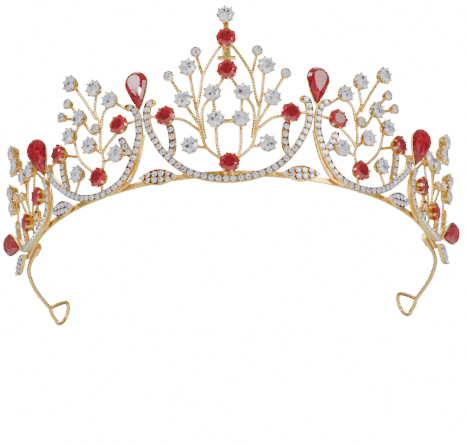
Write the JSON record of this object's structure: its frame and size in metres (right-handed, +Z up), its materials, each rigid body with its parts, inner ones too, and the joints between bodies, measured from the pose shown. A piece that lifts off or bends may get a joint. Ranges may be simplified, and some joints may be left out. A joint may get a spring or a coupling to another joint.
{
  "type": "tiara",
  "caption": "Openwork tiara: cast gilt panels of stems, stone-set channels and leaves with red and clear faceted stones on a curved band, with sprung wire arms ending in eyelets.",
  "frame": {"origin": "centre of the bounding box's underside, on the surface that the tiara stands on", "axes": "+Z up, front of the tiara towards -Y, wire arms reaching back towards +Y, +X to the right of someone facing the front"},
  "size_m": [0.1622, 0.1367, 0.0592],
  "materials": {
    "gold_plate": "bright gold plating on a cast alloy",
    "red_stone": "faceted, foiled behind",
    "clear_stone": "faceted, foiled behind"
  },
  "bodies": {
    "crown": {"arm_socket_left": "gold_plate", "arm_socket_right": "gold_plate", "base_band": "gold_plate", "centre_bottom_stone": "red_stone", "centre_foot_stone_left": "clear_stone", "centre_foot_stone_right": "clear_stone", "centre_middle_stone": "red_stone", "centre_pair_lower_stone_left": "clear_stone", "centre_pair_lower_stone_right": "clear_stone", "centre_pair_upper_stone_left": "clear_stone", "centre_pair_upper_stone_right": "clear_stone", "centre_panel_casting": "gold_plate", "centre_pave_row": "clear_stone", "centre_shoulder_lower_stone_left": "clear_stone", "centre_shoulder_lower_stone_right": "clear_stone", "centre_shoulder_upper_stone_left": "clear_stone", "centre_shoulder_upper_stone_right": "clear_stone", "centre_side_stone_left": "red_stone", "centre_side_stone_right": "red_stone", "centre_top_stone": "clear_stone", "centre_upper_stone": "red_stone", "flank_bottom_red_stone_left": "red_stone", "flank_bottom_red_stone_right": "red_stone", "flank_drop_cup_left": "gold_plate", "flank_drop_cup_right": "gold_plate", "flank_drop_stone_left": "red_stone", "flank_drop_stone_right": "red_stone", "flank_inner_red_stone_left": "red_stone", "flank_inner_red_stone_right": "red_stone", "flank_leaf_left": "gold_plate", "flank_leaf_right": "gold_plate", "flank_outer_red_stone_left": "red_stone", "flank_outer_red_stone_right": "red_stone", "flank_panel_casting_left": "gold_plate", "flank_panel_casting_right": "gold_plate", "flank_pave_row_left": "clear_stone", "flank_pave_row_right": "clear_stone", "front_drop_cup_left": "gold_plate", "front_drop_cup_right": "gold_plate", "front_drop_stone_left": "red_stone", "front_drop_stone_right": "red_stone", "front_leaf_left": "gold_plate", "front_leaf_right": "gold_plate", "outer_bottom_red_stone_left": "red_stone", "outer_bottom_red_stone_right": "red_stone", "outer_inner_red_stone_left": "red_stone", "outer_inner_red_stone_right": "red_stone", "outer_panel_casting_left": "gold_plate", "outer_panel_casting_right": "gold_plate", "outer_pave_row_left": "clear_stone", "outer_pave_row_right": "clear_stone", "rear_drop_cup_left": "gold_plate", "rear_drop_cup_right": "gold_plate", "rear_drop_stone_left": "red_stone", "rear_drop_stone_right": "red_stone", "rear_leaf_left": "gold_plate", "rear_leaf_right": "gold_plate"},
    "left_arm": {"wire_arm_left": "gold_plate"},
    "right_arm": {"wire_arm_right": "gold_plate"}
  },
  "joints": [
    {"name": "left_arm_flex", "type": "hinge", "parent": "crown", "child": "left_arm", "pos_m": [-0.0698, 0.003, 0.0042], "axis": [0, 0, 1], "range_deg": [-4, 6], "stiffness_Nm_per_rad": 0.5},
    {"name": "right_arm_flex", "type": "hinge", "parent": "crown", "child": "right_arm", "pos_m": [0.0698, 0.003, 0.0042], "axis": [0, 0, -1], "range_deg": [-4, 6], "stiffness_Nm_per_rad": 0.5}
  ]
}
